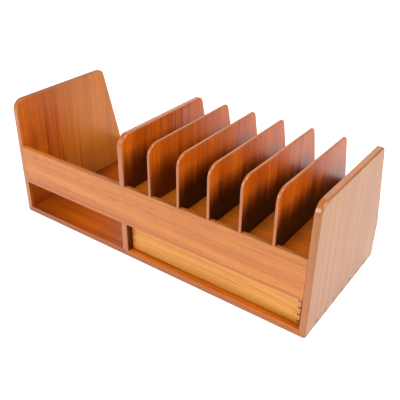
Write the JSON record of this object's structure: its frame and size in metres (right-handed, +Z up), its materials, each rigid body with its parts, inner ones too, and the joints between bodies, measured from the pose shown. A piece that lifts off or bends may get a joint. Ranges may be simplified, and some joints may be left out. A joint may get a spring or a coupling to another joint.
{
  "type": "envelope sorter with drawer",
  "caption": "Desktop organiser in oiled teak: a tall open bay, upright letter slots behind a low front rail, and a shallow drawer under the slots.",
  "frame": {"origin": "middle of the case's footprint, on the plane that it stands on", "axes": "+X along the case towards the drawer end, -Y towards the user (the front), +Z up"},
  "size_m": [0.6, 0.258, 0.228],
  "materials": {
    "end_teak": "oiled teak, soft sheen, grain upright",
    "partition_teak": "oiled teak, soft sheen, grain upright",
    "board_teak": "oiled teak, soft sheen, grain along the case",
    "divider_teak": "oiled teak, soft sheen, grain upright",
    "drawer_front_teak": "oiled teak, a little more golden, grain along the drawer",
    "drawer_side_teak": "oiled teak, end grain darker",
    "drawer_bottom_wood": "pale plain wood sheet",
    "inner_wood": "plain unpolished wood strip",
    "dowel_wood": "plain pale hardwood",
    "screw_brass": "plain brass"
  },
  "bodies": {
    "case": {"left_end_panel": "end_teak", "right_end_panel": "end_teak", "partition": "partition_teak", "bottom_board": "board_teak", "front_rail": "board_teak", "rear_board": "board_teak", "leaning_rear_board": "board_teak", "sorter_floor": "board_teak", "divider_1": "divider_teak", "divider_2": "divider_teak", "divider_3": "divider_teak", "divider_4": "divider_teak", "divider_5": "divider_teak", "kicker_left": "inner_wood", "kicker_right": "inner_wood", "guide_strip": "inner_wood", "partition_dowels": "dowel_wood", "rail_dowels": "dowel_wood", "rear_board_dowels": "dowel_wood", "kicker_screws": "screw_brass"},
    "drawer": {"drawer_front": "drawer_front_teak", "drawer_side_left": "drawer_side_teak", "drawer_side_right": "drawer_side_teak", "drawer_back": "drawer_side_teak", "drawer_bottom": "drawer_bottom_wood", "drawer_bottom_screws": "screw_brass"}
  },
  "joints": [
    {"name": "drawer_slide", "type": "slide", "parent": "case", "child": "drawer", "axis": [0, -1, 0], "range_m": [0, 0.19]}
  ]
}
